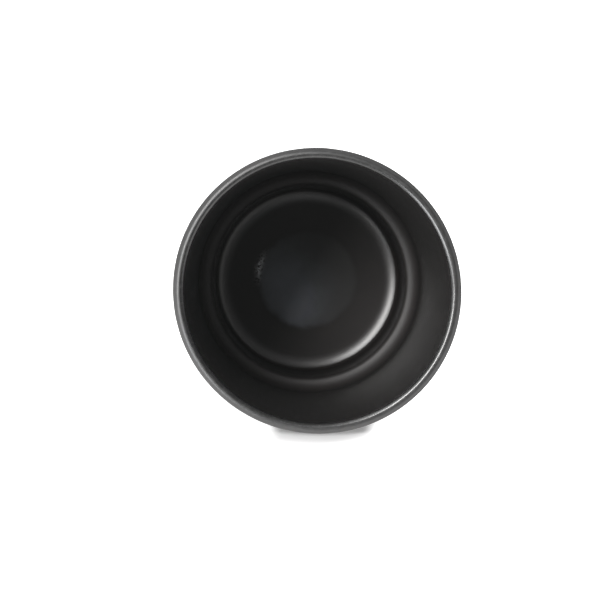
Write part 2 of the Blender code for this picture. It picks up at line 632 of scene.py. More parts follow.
@dataclass(frozen=True)
class Outline:
    """A closed or axis-to-axis outline, ready for the turning tree."""

    spots: Sequence[Spot]

    @staticmethod
    def closed(spots: Sequence[Spot]) -> "Outline":
        """The outline through the points, closed unless it starts on the axis."""
        return Outline([*spots, spots[0]] if spots[0].place.x > WELD else [*spots])

    @staticmethod
    def coat(corners: Sequence[Corner], depth: float, longest: float) -> "Outline":
        """The outline of a coat of glaze: its finished face, and its back on the clay.

        Args:
            corners: the finished face.
            depth: the coat's thickness.
            longest: the longest side of the finished face.

        Returns:
            The outline.
        """
        face = traced(corners, longest)
        back = traced(set_back(corners, depth), HIDDEN_COARSER * longest, skin=0.0)
        return Outline.closed(face + back[::-1])

    @staticmethod
    def rolled(
        corners: Sequence[Corner], depth: float, roll: float, longest: float, at_start: bool = False
    ) -> "Outline":
        """The outline of a coat whose free end is rolled down onto the clay.

        Args:
            corners: the finished face.
            depth: the coat's thickness.
            roll: the radius of the rolled end.
            longest: the longest side of the finished face.
            at_start: whether the rolled end is the first and not the last.

        Returns:
            The outline.
        """
        back = set_back(corners, depth)
        if at_start:
            face = [back[0], corners[0]._replace(round=roll), *corners[1:]]
        else:
            face = [*corners[:-1], corners[-1]._replace(round=roll), back[-1]]
        hidden = traced(back, HIDDEN_COARSER * longest, skin=0.0)[::-1]
        return Outline.closed(traced(face, longest) + hidden[0 if at_start else 1 :])

    def refined(self, near: float, reach: float, longest: float) -> "Outline":
        """Cuts up the finished face around one radius, so that a narrow mark can be raised there.

        Args:
            near: the radius of the mark.
            reach: how far on either side of it the face is cut up.
            longest: the longest side that is left there.

        Returns:
            The outline with the new points.
        """
        result = [self.spots[0]]
        for a, b in zip(self.spots, self.spots[1:]):
            close = b.skin > 0.5 and abs((a.place.x + b.place.x) / 2 - near) < reach
            count = math.ceil((b.place - a.place).length / longest) if close else 1
            places = [a.place.lerp(b.place, step / count) for step in range(1, count + 1)]
            result.extend(replace(b, place=place) for place in places)
        return Outline(result)

    def slipping(self, line: Vector, way: Vector, reach: float) -> "Outline":
        """Lets the points near a glaze line wander with it.

        Args:
            line: the end of the coat.
            way: the direction in which the glaze runs there.
            reach: how far from the line the movement dies out.

        Returns:
            The outline, whose points know how they wander.
        """
        moved = []
        for spot in self.spots:
            share = max(1.0 - (spot.place - line).length / reach, 0.0)
            slip = way.normalized() * share * share * (3.0 - 2.0 * share)
            moved.append(replace(spot, slip=slip))
        return Outline(moved)

    def thinness(self, width: float = 0.45 * MILLIMETRE) -> list[float]:
        """How thin the glaze runs at each point: the bend of the outline, blurred along it.

        Args:
            width: the width of the blur.

        Returns:
            A number for each point, about 1 on a 1 mm edge and under 0 in hollows.
        """
        places = [spot.place for spot in self.spots]
        along = [0.0]
        for a, b in zip(places, places[1:]):
            along.append(along[-1] + (b - a).length)
        ends = [along[0], *along, along[-1]]
        share = [(after - before) / 2 for before, after in zip(ends, ends[2:])]
        thin = []
        for here in along:
            near = [math.exp(-(((there - here) / width) ** 2)) for there in along]
            weights = [length * weight for length, weight in zip(share, near)]
            bends = sum(w * spot.bend for w, spot in zip(weights, self.spots))
            thin.append(bends / sum(weights) * MILLIMETRE)
        return thin

    def normals(self) -> list[Vector]:
        """The outward direction at each point, in the outline's plane.

        Returns:
            The directions in order.
        """
        places = [spot.place for spot in self.spots]
        before = [places[0], *places[:-1]]
        after = [*places[1:], places[-1]]
        ways = [(b - a).normalized() for a, b in zip(before, after)]
        return [Vector((-way.y, way.x)) for way in ways]

    def mesh(self, name: str) -> bpy.types.Mesh:
        """The outline as a mesh of loose points that carry what the turning tree reads.

        Args:
            name: the mesh's name.

        Returns:
            The mesh.
        """
        mesh = bpy.data.meshes.new(name)
        mesh.from_pydata([(spot.place.x, 0.0, spot.place.y) for spot in self.spots], [], [])
        outward = [(normal.x, 0.0, normal.y) for normal in self.normals()]
        slips = [(spot.slip.x, 0.0, spot.slip.y) for spot in self.spots]
        skins = [spot.skin for spot in self.spots]
        for label, vectors in (("outward", outward), ("slip", slips)):
            attribute = mesh.attributes.new(label, "FLOAT_VECTOR", "POINT")
            attribute.data.foreach_set("vector", [value for vector in vectors for value in vector])
        for label, numbers in (("skin", skins), ("thin", self.thinness())):
            attribute = mesh.attributes.new(label, "FLOAT", "POINT")
            attribute.data.foreach_set("value", numbers)
        return mesh


# Geometry rules


@dataclass(frozen=True)
class Turning:
    """What the turning tree is told: how finely it turns, and how the hand and the kiln show."""

    segments: int = 256
    oval: float = 0.0076
    oval_turn: float = math.radians(-27.0)
    full_height: float = 0.0900
    ring_depth: float = 0.010 * MILLIMETRE
    ring_pitch: float = 3.4 * MILLIMETRE
    uneven: float = 0.020 * MILLIMETRE
    uneven_size: float = 11.0 * MILLIMETRE
    edge_wander: float = 0.0
    line_wander: float = 0.0
    line_bead: float = 0.0
    mark_height: float = 0.0
    mark_radius: float = 16.0 * MILLIMETRE
    mark_width: float = 0.5 * MILLIMETRE
    mark_turn: float = math.pi
    mark_spread: float = 0.35
    seed: int = 7

    @classmethod
    def labels(cls) -> dict[str, str]:
        """The tree's input for each field: line_bead goes into Line Bead."""
        return {field.name: field.name.replace("_", " ").title() for field in fields(cls)}

    @classmethod
    def inputs(cls) -> dict[str, str]:
        """The kind of each of those inputs. A field that is a whole number is a count."""
        whole = {label: isinstance(getattr(cls, name), int) for name, label in cls.labels().items()}
        return {label: "count" if counted else "number" for label, counted in whole.items()}


def placed(name: str, data: bpy.types.ID) -> bpy.types.Object:
    """Puts a new object in the scene.

    Args:
        name: its name.
        data: its mesh, lamp or camera.

    Returns:
        The object, at the origin.
    """
    thing = bpy.data.objects.new(name, data)
    bpy.context.scene.collection.objects.link(thing)
    return thing


def modifier_mesh(
    source: bpy.types.Mesh, tree: bpy.types.NodeTree, values: Mapping[str, object], name: str
) -> bpy.types.Object:
    """Runs a geometry tree once and keeps its result as a plain object.

    Args:
        source: the mesh that goes into the tree.
        tree: the tree.
        values: the value of each of its inputs, by the input's name.
        name: the object's name.

    Returns:
        The object, without modifiers, at the origin.
    """
    piece = placed(name, source)
    modifier = piece.modifiers.new("rule", "NODES")
    modifier.node_group = tree
    for item in tree.interface.items_tree:
        if item.in_out == "INPUT" and item.name in values:
            modifier[item.identifier] = values[item.name]
    evaluated = piece.evaluated_get(bpy.context.evaluated_depsgraph_get())
    made = bpy.data.meshes.new_from_object(evaluated)
    piece.modifiers.remove(modifier)
    piece.data = made
    made.name = name
    return piece


def close_dressed(w: Wiring, output: str, geometry: Signal) -> bpy.types.NodeTree:
    """Ends a geometry tree: makes its instances real and gives them the material.

    Args:
        w: the tree.
        output: the name of its output.
        geometry: what it has made.

    Returns:
        The finished tree.
    """
    real = w.add("GeometryNodeRealizeInstances", {"Geometry": geometry})
    feeds = {"Geometry": w.out(real, "Geometry"), "Material": w.given("Material")}
    return close_tree(w, {output: w.out(w.add("GeometryNodeSetMaterial", feeds), "Geometry")})


class Here(NamedTuple):
    """A point of the turned grid before the marks of making move it."""

    place: Signal
    turn: Signal
    radius: Signal
    height: Signal
    upright: Signal
    thin: Signal


class TurningTree:
    """The rule that turns an outline about the upright axis and gives it the marks of making.

    WANDER and BEAD are how many blots of noise there are to a radian, and which part is read."""

    WANDER = (2.6, 3.0)
    BEAD = (5.0, 9.0)
    AROUND_GAIN = 2.6
    UPRIGHT: Step = (0.90, 0.99)
    RING_BLOTS = 40.0
    RING_DRIFT = 9.0
    LIP_BLOTS = 260.0
    MARK_BLOTS = 900.0
    MARK_LUMPS: Step = (0.38, 0.62)
    SQUARE_EDGE = math.radians(50.0)

    def __init__(self) -> None:
        """Builds the tree."""
        inputs = {"Outline": "geometry", "Material": "material", **Turning.inputs()}
        self.wiring = new_tree("Turned Ware", "GeometryNodeTree", inputs, {"Ware": "geometry"})
        self.tree = self.build()

    def turn(
        self, outline: Outline, turning: Turning, material: bpy.types.Material, name: str
    ) -> bpy.types.Object:
        """Turns an outline.

        Args:
            outline: the outline.
            turning: how it is turned.
            material: the finish.
            name: the piece's name.

        Returns:
            The turned piece.
        """
        values = {label: getattr(turning, field) for field, label in Turning.labels().items()}
        return modifier_mesh(outline.mesh(name), self.tree, {**values, "Material": material}, name)

    def build(self) -> bpy.types.NodeTree:
        """Lays a grid, rolls it round the axis, moves it, and closes its seam and poles.

        Returns:
            The finished tree.
        """
        w = self.wiring
        size = w.add("GeometryNodeAttributeDomainSize", {"Geometry": w.given("Outline")})
        count = w.out(size, "Point Count")
        rings = {"Vertices X": w.given("Segments") + 1, "Vertices Y": count}
        grid = w.add("GeometryNodeMeshGrid", rings)
        index = w.out(w.add("GeometryNodeInputIndex"), "Index")
        step = w.math("FLOOR", index / count)
        spot = index - step * count
        turn = step / w.given("Segments") * math.tau

        radius, _, height = w.split(self.read(spot, "Position"))
        out_radius, _, out_height = w.split(self.read(spot, "outward"))
        slip_radius, _, slip_height = w.split(self.read(spot, "slip"))
        skin, thin = self.read(spot, "skin"), self.read(spot, "thin")

        cosine, sine = w.math("COSINE", turn), w.math("SINE", turn)
        there = w.join(radius * cosine, radius * sine, height)
        push = self.push(Here(there, turn, radius, height, out_radius, thin)) * skin
        wander = self.around(cosine, sine, *self.WANDER) * w.given("Line Wander")
        bead = (self.around(cosine, sine, *self.BEAD) * 0.5 + 0.5) * w.given("Line Bead")
        push = push + w.length(slip_radius, 0.0, slip_height) * skin * bead

        rise = w.math("POWER", height / w.given("Full Height"), 2.0)
        oval = w.math("COSINE", (turn - w.given("Oval Turn")) * 2.0) * w.given("Oval") * rise
        radius = (radius + out_radius * push + slip_radius * wander) * (oval + 1.0)
        height = height + out_height * push + slip_height * wander
        place = w.join(radius * cosine, radius * sine, height)
        feeds = {"Geometry": w.out(grid, "Mesh"), "Position": place}
        ware = w.out(w.add("GeometryNodeSetPosition", feeds), "Geometry")

        unrolled = w.join(turn / math.tau, spot / count, 0.0)
        for name, value in (("UVMap", unrolled), ("thin", thin), ("facing", out_radius)):
            ware = self.store(ware, name, value)
        feeds = {"Geometry": ware, "Distance": WELD}
        return self.finish(w.out(w.add("GeometryNodeMergeByDistance", feeds), "Geometry"))

    def read(self, spot: Signal, name: str) -> Signal:
        """Reads a value of the outline's points.

        Args:
            spot: the number of the point.
            name: "Position", or an attribute's name.

        Returns:
            The value at that point.
        """
        w = self.wiring
        kind = "FLOAT" if name in ("skin", "thin") else "FLOAT_VECTOR"
        if name == "Position":
            value = w.out(w.add("GeometryNodeInputPosition"), "Position")
        else:
            node = w.add("GeometryNodeInputNamedAttribute", {"Name": name}, data_type=kind)
            value = w.out(node, "Attribute")
        feeds = {"Geometry": w.given("Outline"), "Value": value, "Index": spot}
        return w.out(w.add("GeometryNodeSampleIndex", feeds, data_type=kind), "Value")

    def around(self, cosine: Signal, sine: Signal, blots: float, part: float) -> Signal:
        """Noise that runs round the piece and meets itself.

        Args:
            cosine: the cosine of the turn.
            sine: its sine.
            blots: how many blots there are to a radian, about.
            part: which part of the noise is read.

        Returns:
            The noise, from about -1 to 1.
        """
        w = self.wiring
        circle = w.join(cosine, sine, w.given("Seed") + part)
        return (w.noise(circle, blots, detail=3.0) - 0.5) * self.AROUND_GAIN

    def push(self, here: Here) -> Signal:
        """How far the finished face stands out at a point: throwing rings on upright walls, slow
        unevenness all over, a wavering lip, and the raised drag mark on the floor.

        Args:
            here: the point.

        Returns:
            The distance along the face's normal.
        """
        w = self.wiring
        seeded = w.vector_math("ADD", here.place, w.join(w.given("Seed"), 0.0, 0.0))
        wall = w.ramp(w.math("ABSOLUTE", here.upright), *self.UPRIGHT)
        phase = here.height / w.given("Ring Pitch") * math.tau + here.turn
        drift = w.noise(seeded, self.RING_BLOTS, detail=1.0) * self.RING_DRIFT
        rings = w.math("SINE", phase + drift) * w.given("Ring Depth") * wall
        slow = w.noise(seeded, w.math("DIVIDE", 1.0, w.given("Uneven Size")))
        uneven = (slow - 0.5) * 2.0 * w.given("Uneven")
        edge = w.math("MINIMUM", w.math("MAXIMUM", here.thin, 0.0), 1.0)
        waver = (w.noise(seeded, self.LIP_BLOTS) - 0.5) * 2.0 * w.given("Edge Wander") * edge
        off_ring = w.hill(here.radius - w.given("Mark Radius"), w.given("Mark Width"))
        off_turn = w.math("WRAP", here.turn - w.given("Mark Turn"), math.pi, -math.pi)
        lumps = w.ramp(w.noise(seeded, self.MARK_BLOTS, detail=3.0, rough=0.6), *self.MARK_LUMPS)
        mark = off_ring * w.hill(off_turn, w.given("Mark Spread")) * lumps * w.given("Mark Height")
        return rings + uneven + waver + mark

    def store(self, geometry: Signal, name: str, value: Signal) -> Signal:
        """Stores a value on the mesh.

        Args:
            geometry: the mesh.
            name: the attribute's name. "UVMap" goes on the corners, so that it can end at the seam.
            value: the value at each point.

        Returns:
            The mesh with the attribute.
        """
        w = self.wiring
        kind = {"data_type": "FLOAT", "domain": "POINT"}
        if name == "UVMap":
            held = {"data_type": "FLOAT_VECTOR", "domain": "POINT"}
            value = w.out(w.add("GeometryNodeFieldOnDomain", {"Value": value}, **held), "Value")
            kind = {"data_type": "FLOAT2", "domain": "CORNER"}
        feeds = {"Geometry": geometry, "Name": name, "Value": value}
        return w.out(w.add("GeometryNodeStoreNamedAttribute", feeds, **kind), "Geometry")

    def finish(self, geometry: Signal) -> bpy.types.NodeTree:
        """Smooths the shading except at square ends, makes the mesh real and gives it its finish.

        Args:
            geometry: the closed mesh.

        Returns:
            The finished tree.
        """
        w = self.wiring
        feeds = {"Geometry": geometry, "Shade Smooth": True}
        smooth = w.out(w.add("GeometryNodeSetShadeSmooth", feeds, domain="FACE"), "Geometry")
        angle = w.out(w.add("GeometryNodeInputMeshEdgeAngle"), "Unsigned Angle")
        feeds = {"A": angle, "B": self.SQUARE_EDGE}
        square = w.add("FunctionNodeCompare", feeds, data_type="FLOAT", operation="GREATER_THAN")
        feeds = {"Geometry": smooth, "Selection": w.out(square, "Result"), "Shade Smooth": False}
        edged = w.out(w.add("GeometryNodeSetShadeSmooth", feeds, domain="EDGE"), "Geometry")
        return close_dressed(w, "Ware", edged)


class GritTree:
    """The rule that lays grit over the bare band of the foot."""

    INPUTS = {
        "Clay": "geometry",
        "Lowest": "number",
        "Highest": "number",
        "Spacing": "number",
        "Grain": "number",
        "Seed": "count",
        "Material": "material",
    }
    DENSEST = 4.0e6
    SMALLEST = 0.35
    SQUAT = 0.45

    def __init__(self) -> None:
        """Builds the tree."""
        self.wiring = new_tree("Foot Grit", "GeometryNodeTree", self.INPUTS, {"Grit": "geometry"})
        self.tree = self.build()

    def build(self) -> bpy.types.NodeTree:
        """Scatters points over the band and sinks a squat grain into each.

        Returns:
            The finished tree.
        """
        w = self.wiring
        height = w.split(w.out(w.add("GeometryNodeInputPosition"), "Position"))[2]
        above = w.math("GREATER_THAN", height, w.given("Lowest"))
        below = w.math("LESS_THAN", height, w.given("Highest"))
        feeds = {
            "Mesh": w.given("Clay"),
            "Selection": above * below,
            "Distance Min": w.given("Spacing"),
            "Density Max": self.DENSEST,
            "Seed": w.given("Seed"),
        }
        spread = w.add("GeometryNodeDistributePointsOnFaces", feeds, distribute_method="POISSON")
        ball = w.add("GeometryNodeMeshIcoSphere", {"Radius": w.given("Grain"), "Subdivisions": 1})
        feeds = {"Geometry": w.out(ball, "Mesh"), "Shade Smooth": True}
        grain = w.add("GeometryNodeSetShadeSmooth", feeds)
        feeds = {"Seed": w.given("Seed"), "Min": self.SMALLEST, "Max": 1.0}
        width = w.out(w.add("FunctionNodeRandomValue", feeds, data_type="FLOAT"), "Value")
        feeds = {
            "Points": w.out(spread, "Points"),
            "Instance": w.out(grain, "Geometry"),
            "Rotation": w.out(spread, "Rotation"),
            "Scale": w.join(width, width, width * self.SQUAT),
        }
        laid = w.add("GeometryNodeInstanceOnPoints", feeds)
        return close_dressed(w, "Grit", w.out(laid, "Instances"))


# Finishes


class Effects:
    """Shader groups that more than one finish uses. Each is built once."""

    SWELL_SCALE = 0.16
    BREAK_BLOTS = 700.0

    def __init__(self) -> None:
        """Builds the groups."""
        self.peel = self.build_peel()
        self.pits = self.build_pits()
        self.breaking = self.build_breaking()
        self.streaks = self.build_streaks()

    def build_peel(self) -> bpy.types.NodeTree:
        """The orange-peel surface of satin glaze, as a height and as a grain for the roughness.

        Returns:
            The group.
        """
        inputs = {"Vector": "vector", "Cell": "number", "Swell": "number"}
        outputs = {"Height": "number", "Grain": "number"}
        w = new_tree("Orange Peel", "ShaderNodeTree", inputs, outputs)
        scale = w.math("DIVIDE", 1.0, w.given("Cell"))
        fine = w.noise(w.given("Vector"), scale, rough=0.55)
        slow = w.noise(w.given("Vector"), scale * self.SWELL_SCALE)
        return close_tree(w, {"Height": fine + (slow - 0.5) * w.given("Swell"), "Grain": fine})

    def build_pits(self) -> bpy.types.NodeTree:
        """Pinholes where gas left the glaze, as a mask. Share is how many of the cells have one.

        Returns:
            The group.
        """
        inputs = {"Vector": "vector", "Spacing": "number", "Width": "number", "Share": "number"}
        w = new_tree("Pinholes", "ShaderNodeTree", inputs, {"Mask": "number"})
        feeds = {"Vector": w.given("Vector"), "Scale": w.math("DIVIDE", 1.0, w.given("Spacing"))}
        cells = w.add("ShaderNodeTexVoronoi", feeds)
        pick = w.split(w.out(cells, "Color"))[0]
        hole = w.fall(w.out(cells, "Distance"), w.given("Width") * 0.5, w.given("Width"))
        return close_tree(w, {"Mask": hole * w.math("LESS_THAN", pick, w.given("Share"))})

    def build_breaking(self) -> bpy.types.NodeTree:
        """Where the glaze runs thin over an edge and shows the clay through, as a mask.

        Returns:
            The group.
        """
        numbers = dict.fromkeys(("Thin", "Start", "End", "Ragged"), "number")
        inputs = {"Vector": "vector", **numbers}
        w = new_tree("Breaking Glaze", "ShaderNodeTree", inputs, {"Mask": "number"})
        blots = w.noise(w.given("Vector"), self.BREAK_BLOTS, detail=4.0, rough=0.65) - 0.5
        thin = w.given("Thin") + blots * w.given("Ragged")
        return close_tree(w, {"Mask": w.ramp(thin, w.given("Start"), w.given("End"))})

    def build_streaks(self) -> bpy.types.NodeTree:
        """Streaks that the wheel and the sponge leave round the piece, drawn out along the turn.

        Returns:
            The group.
        """
        inputs = {"Vector": "vector", "Across": "number", "Along": "number"}
        w = new_tree("Wheel Streaks", "ShaderNodeTree", inputs, {"Value": "number"})
        x, y, z = w.split(w.given("Vector"))
        radius = w.length(x, y)
        along = w.given("Along")
        there = w.join(x / radius * along, y / radius * along, (radius + z) * w.given("Across"))
        return close_tree(w, {"Value": w.noise(there, 1.0, detail=4.0, rough=0.6)})


class Peel(NamedTuple):
    """Orange peel: the size of its cells, how it swells from place to place, and its depth."""

    cell: float
    swell: float
    depth: float


class Specks(NamedTuple):
    """Pinholes or grains: the size of the cells that may have one each, its width as a share of the
    cell, the share of cells that have one, how far it goes in or out, and its colour."""

    spacing: float
    width: float
    share: float
    depth: float
    colour: Colour


class Surface:
    """A material under way: its Principled BSDF, and the wiring that feeds it."""

    def __init__(self, name: str, effects: Effects) -> None:
        """Makes the material.

        Args:
            name: the material's name.
            effects: the shader groups.
        """
        self.material = bpy.data.materials.new(name)
        self.material.use_nodes = True
        self.wiring = Wiring(self.material.node_tree)
        self.shader = self.material.node_tree.nodes["Principled BSDF"]
        self.effects = effects
        self.place = self.wiring.coordinates("Object")

    def group(self, tree: bpy.types.NodeTree, feeds: Mapping[str, Feed], output: str) -> Signal:
        """Adds a shader group that reads Object coordinates.

        Args:
            tree: the group.
            feeds: its other inputs, by name.
            output: the output that is wanted.

        Returns:
            That output.
        """
        node = self.wiring.add("ShaderNodeGroup", node_tree=tree)
        for name, value in {"Vector": self.place, **feeds}.items():
            self.wiring.feed(node.inputs[name], value)
        return Signal(self.wiring, node.outputs[output])

    def stored(self, name: str) -> Signal:
        """A number that the turning tree stored on the mesh."""
        node = self.wiring.add("ShaderNodeAttribute", attribute_name=name)
        return self.wiring.out(node, "Fac")

    def peel(self, peel: Peel) -> tuple[Signal, ...]:
        """The height and the grain of the orange peel."""
        feeds = {"Cell": peel.cell, "Swell": peel.swell}
        return tuple(self.group(self.effects.peel, feeds, name) for name in ("Height", "Grain"))

    def specks(self, specks: Specks) -> Signal:
        """Where the specks are, as a mask."""
        feeds = {"Spacing": specks.spacing, "Width": specks.width, "Share": specks.share}
        return self.group(self.effects.pits, feeds, "Mask")

    def breaking(self, start: float, end: float, ragged: float) -> Signal:
        """Where the glaze runs thin, as a mask that is ragged between the two thicknesses."""
        feeds = {"Thin": self.stored("thin"), "Start": start, "End": end, "Ragged": ragged}
        return self.group(self.effects.breaking, feeds, "Mask")

    def bump(self, height: Signal, depth: float) -> None:
        """Gives the shader a relief.

        Args:
            height: the relief, about 0 to 1.
            depth: how far 1 stands above 0, in metres.
        """
        feeds = {"Height": height, "Distance": depth, "Strength": 1.0}
        node = self.wiring.add("ShaderNodeBump", feeds)
        self.feed("Normal", self.wiring.out(node, "Normal"))

    def veil(self, haze: float) -> None:
        """Paints a faint even glow into the glaze as emission: a painted lift of the black that
        stands in for the light the white surroundings throw over it.
        """
        # Painted glow: the glaze gives off this faint light though it is no lamp.
        self.feed("Emission Color", (0.94, 1.0, 0.99))
        self.feed("Emission Strength", haze)

    def feed(self, name: str, value: Feed) -> None:
        """Feeds one of the shader's inputs, by its name."""
        self.wiring.feed(self.shader.inputs[name], opaque(value))


@dataclass(frozen=True)
class Finish:
    """What the finishes share: a name, and how the material is made."""

    name: str

    def make(self, effects: Effects) -> bpy.types.Material:
        """Builds the material.

        Args:
            effects: the shader groups.

        Returns:
            The material.
        """
        surface = Surface(self.name, effects)
        self.dress(surface)
        return surface.material

    def dress(self, s: Surface) -> None:
        """Feeds the surface's shader. Each finish does it in its own way."""
        raise NotImplementedError


class Patch(NamedTuple):
    """A soft patch on the floor: its middle, its width and its colour."""

    x: float
    y: float
    width: float
    colour: Colour

    def away(self, w: Wiring, x: Signal, y: Signal) -> Signal:
        """How far a point is from the patch's middle."""
        return w.length(x - self.x, y - self.y)


@dataclass(frozen=True)
class FloorMarks:
    """What only the lining has: a lighter tone on the floor's pad, a painted pale bluish reflection
    over the pad, a painted glint along the drag mark, and a duller ledge."""

    pad_colour: Colour = (0.026, 0.025, 0.024)
    pad_rim: Step = (14.5 * MILLIMETRE, 17.0 * MILLIMETRE)
    pad_below: float = 9.0 * MILLIMETRE
    pad_dulling: float = 0.08
    # Painted reflection: pale bluish patches on the pad that stand in for light reflected there.
    films: tuple[Patch, ...] = (
        Patch(-9.0 * MILLIMETRE, 0.0, 10.5 * MILLIMETRE, (0.195, 0.212, 0.245)),
        Patch(-5.0 * MILLIMETRE, -8.0 * MILLIMETRE, 8.0 * MILLIMETRE, (0.215, 0.230, 0.270)),
    )
    # Painted glint: a pale speckled patch along the drag mark's crest that stands in for a highlight.
    crystals: Patch = Patch(
        -16.0 * MILLIMETRE, 4.3 * MILLIMETRE, 3.7 * MILLIMETRE, (0.78, 0.79, 0.82)
    )
    crest_radius: float = 16.5 * MILLIMETRE
    crest_width: float = 1.0 * MILLIMETRE
    glint_blots: float = 1400.0
    glint_step: Step = (0.36, 0.52)
    warp_blots: float = 160.0
    warp_reach: float = 6.0 * MILLIMETRE
    rim_warp: float = 0.35
    reflection_warp: float = 0.6
    ledge_satin: float = 0.54
    ledge_start: Step = (16.0 * MILLIMETRE, 18.5 * MILLIMETRE)
    ledge_end: Step = (24.0 * MILLIMETRE, 30.0 * MILLIMETRE)

    def lay(self, s: Surface, colour: Signal, satin: Signal) -> tuple[Signal, Signal]:
        """Lays the marks over the plain glaze: the pad's lighter tone, its painted reflection, the
        painted glint on the drag mark and the duller ledge.

        Args:
            s: the surface.
            colour: its colour so far.
            satin: its roughness so far.

        Returns:
            The colour and the roughness with the marks.
        """
        w = s.wiring
        x, y, z = w.split(s.place)
        warp = (w.noise(s.place, self.warp_blots, detail=3.0) - 0.5) * self.warp_reach
        radius = w.length(x, y) + warp * self.rim_warp
        low = w.math("LESS_THAN", z, self.pad_below)
        pad = w.fall(radius, *self.pad_rim) * low
        colour = w.blend(pad, colour, self.pad_colour)
        # Painted reflection on the pad.
        for reflection in self.films:
            pale = w.hill(reflection.away(w, x, y) + warp * self.reflection_warp, reflection.width)
            colour = w.blend(pad * pale, colour, reflection.colour)
        # Painted glint along the crest of the drag mark.
        along = w.hill(self.crystals.away(w, x, y), self.crystals.width)
        crest = along * w.hill(radius - self.crest_radius, self.crest_width) * low
        crystals = crest * w.ramp(w.noise(s.place, self.glint_blots), *self.glint_step)
        ledge = w.ramp(z, *self.ledge_start) * w.fall(z, *self.ledge_end)
        satin = w.math("MAXIMUM", satin + pad * self.pad_dulling, ledge * self.ledge_satin)
        return w.blend(crystals, colour, self.crystals.colour), satin


@dataclass(frozen=True)
class Glaze(Finish):
    """What the glazes share: how thin they run before they break, their peel and pinholes, and a
    faint painted glow.
    """

    ior: float = 1.80
    thin_step: Step = (0.16, 0.62)
    thin_ragged: float = 0.25
    peel: Peel = Peel(0.55 * MILLIMETRE, 1.4, 0.006 * MILLIMETRE)
    pits: Specks = Specks(1.7 * MILLIMETRE, 0.10, 0.10, 1.5, (0.004, 0.004, 0.004))
    # Strength of the painted glow that lifts the black evenly.
    haze: float = 0.0046

    def close(self, s: Surface, colour: Signal, satin: Signal, relief: Signal) -> None:
        """Feeds the surface's shader.

        Args:
            s: the surface.
            colour: its colour.
            satin: its roughness.
            relief: its height, in depths of the peel.
        """
        for name, value in (("Base Color", colour), ("Roughness", satin), ("IOR", self.ior)):
            s.feed(name, value)
        # Paints the faint glow into the glaze as emission.
        s.veil(self.haze)
        s.bump(relief, self.peel.depth)


@dataclass(frozen=True)
class SatinGlaze(Glaze):
    """Black satin glaze. It runs thin and greyer over edges, has a fine orange-peel surface, and
    carries painted shade on its upright walls.
    """

    colour: Colour = (0.0125, 0.0096, 0.0092)
    cloud: Colour = (0.0160, 0.0122, 0.0116)
    cloud_blots: float = 55.0
    cloud_step: Step = (0.38, 0.66)
    thin_colour: Colour = (0.036, 0.032, 0.030)
    # Painted shade: the colour that near-upright walls are darkened to.
    drained: Colour = (0.0040, 0.0024, 0.0023)
    drained_step: Step = (0.80, 0.99)
    satin: float = 0.30
    satin_upright: float = 0.42
    upright_step: Step = (0.55, 0.98)
    satin_range: float = 0.02
    grain_step: Step = (0.3, 0.7)
    marks: Optional[FloorMarks] = None

    def dress(self, s: Surface) -> None:
        """Lays clouds, thin edges and pinholes into the black, paints shade onto upright walls by
        darkening them, and lays peel over it.

        Args:
            s: the surface.
        """
        w = s.wiring
        clouds = w.ramp(w.noise(s.place, self.cloud_blots, detail=3.0), *self.cloud_step)
        colour = w.blend(clouds, self.colour, self.cloud)
        thin = s.breaking(*self.thin_step, self.thin_ragged)
        colour = w.blend(thin, colour, self.thin_colour)
        holes = s.specks(self.pits)
        colour = w.blend(holes, colour, self.pits.colour)
        height, grain = s.peel(self.peel)
        upright = w.math("ABSOLUTE", s.stored("facing"))
        # Painted shade: near-upright faces are darkened.
        colour = w.blend(w.ramp(upright, *self.drained_step), colour, self.drained)
        satin = w.ramp(upright, *self.upright_step, self.satin, self.satin_upright)
        spread = self.satin_range / 2
        satin = satin + w.ramp(grain, *self.grain_step, -spread, spread)
        if self.marks:
            colour, satin = self.marks.lay(s, colour, satin)
        self.close(s, colour, satin, height - holes * self.pits.depth)


@dataclass(frozen=True)
class LipGlaze(Glaze):
    """The glaze over the lip, where it runs thin: grey, mottled and streaked round the mouth."""

    name: str = "lip_grey_glaze"
    ior: float = 1.95
    thin_step: Step = (0.10, 0.62)
    thin_ragged: float = 0.30
    peel: Peel = Peel(0.42 * MILLIMETRE, 0.8, 0.009 * MILLIMETRE)
    pits: Specks = Specks(0.9 * MILLIMETRE, 0.16, 0.30, 2.0, (0.006, 0.006, 0.006))
    # Strength of the painted glow on the lip.
    haze: float = 0.0035
    thick: Colour = (0.0135, 0.0120, 0.0116)
    thin: Colour = (0.0120, 0.0118, 0.0116)
    pale: Colour = (0.034, 0.034, 0.034)
    pale_step: Step = (0.42, 0.66)
    streaks_across: float = 2600.0
    streaks_along: float = 16.0
    streak_share: float = 0.55
    streak_depth: float = 0.8
    mottle_blots: float = 950.0
    mottle_satin: float = 0.14
    satin_inside: float = 0.25
    satin_outside: float = 0.46
    facing_step: Step = (-0.45, 0.15)

    def dress(self, s: Surface) -> None:
        """Mottles and streaks the thin glaze, and gives it pinholes and peel.

        Args:
            s: the surface.
        """
        w = s.wiring
        feeds = {"Across": self.streaks_across, "Along": self.streaks_along}
        streaks = s.group(s.effects.streaks, feeds, "Value")
        mottle = w.noise(s.place, self.mottle_blots, detail=4.0, rough=0.6)
        mix = streaks * self.streak_share + mottle * (1.0 - self.streak_share)
        grey = w.blend(w.ramp(mix, *self.pale_step), self.thin, self.pale)
        mask = s.breaking(*self.thin_step, self.thin_ragged)
        holes = s.specks(self.pits) * mask
        colour = w.blend(holes, w.blend(mask, self.thick, grey), self.pits.colour)
        satin = w.ramp(s.stored("facing"), *self.facing_step, self.satin_inside, self.satin_outside)
        satin = satin + (mottle - 0.5) * self.mottle_satin
        height = s.peel(self.peel)[0] + streaks * self.streak_depth
        self.close(s, colour, satin, height - holes * self.pits.depth)


